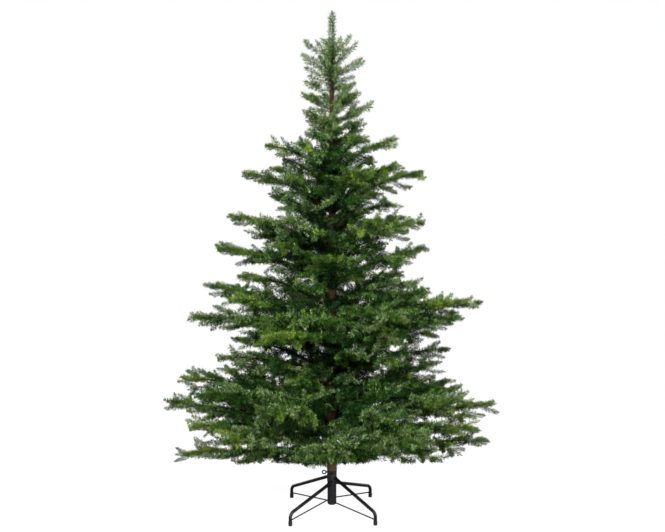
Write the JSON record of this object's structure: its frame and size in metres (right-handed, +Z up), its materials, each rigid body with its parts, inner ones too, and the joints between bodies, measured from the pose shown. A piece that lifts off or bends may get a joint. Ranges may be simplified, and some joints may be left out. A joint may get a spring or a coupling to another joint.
{
  "type": "artificial christmas tree",
  "caption": "Undecorated artificial fir tree: a wrapped pole with rings of needled boughs, slim at the top, standing in a folding metal stand with splayed legs.",
  "frame": {"origin": "on the floor under the trunk's axis", "axes": "+Z up along the trunk, -Y towards the front, +X to the right seen from the front"},
  "size_m": [1.4357, 1.3307, 2.1],
  "materials": {
    "needles": "matt moulded and cut-film needles in mixed greens",
    "bark_wrap": "brown film wrapped round the pole, with short bristles",
    "stand_enamel": "black satin enamel",
    "foot_rubber": "matt black",
    "bolt_steel": "dark blackened steel"
  },
  "bodies": {
    "root": {"bough_1_1": "bark_wrap", "bough_1_2": "bark_wrap", "bough_1_3": "bark_wrap", "bough_1_4": "bark_wrap", "eye_bolt": "bolt_steel", "foliage_10_1": "needles", "foliage_10_2": "needles", "foliage_1_1": "needles", "foliage_1_2": "needles", "foliage_1_3": "needles", "foliage_1_4": "needles", "foliage_2_1": "needles", "foliage_2_2": "needles", "foliage_2_3": "needles", "foliage_2_4": "needles", "foliage_2_5": "needles", "foliage_2_6": "needles", "foliage_3_1": "needles", "foliage_3_2": "needles", "foliage_3_3": "needles", "foliage_3_4": "needles", "foliage_4_1": "needles", "foliage_4_2": "needles", "foliage_4_3": "needles", "foliage_5_1": "needles", "foliage_5_2": "needles", "foliage_5_3": "needles", "foliage_5_4": "needles", "foliage_6_1": "needles", "foliage_6_2": "needles", "foliage_6_3": "needles", "foliage_6_4": "needles", "foliage_7_1": "needles", "foliage_7_2": "needles", "foliage_7_3": "needles", "foliage_7_4": "needles", "foliage_8_1": "needles", "foliage_8_2": "needles", "foliage_8_3": "needles", "foliage_8_4": "needles", "foliage_9_1": "needles", "foliage_9_2": "needles", "foliage_9_3": "needles", "foliage_9_4": "needles", "foliage_top": "needles", "foot_cap_back_left": "foot_rubber", "foot_cap_back_right": "foot_rubber", "foot_cap_front_left": "foot_rubber", "foot_cap_front_right": "foot_rubber", "leg_brace_back_left": "stand_enamel", "leg_brace_back_right": "stand_enamel", "leg_brace_front_left": "stand_enamel", "leg_brace_front_right": "stand_enamel", "stand_collar": "stand_enamel", "stand_leg_back_left": "stand_enamel", "stand_leg_back_right": "stand_enamel", "stand_leg_front_left": "stand_enamel", "stand_leg_front_right": "stand_enamel", "stand_sleeve": "stand_enamel", "trunk": "bark_wrap"}
  },
  "joints": []
}
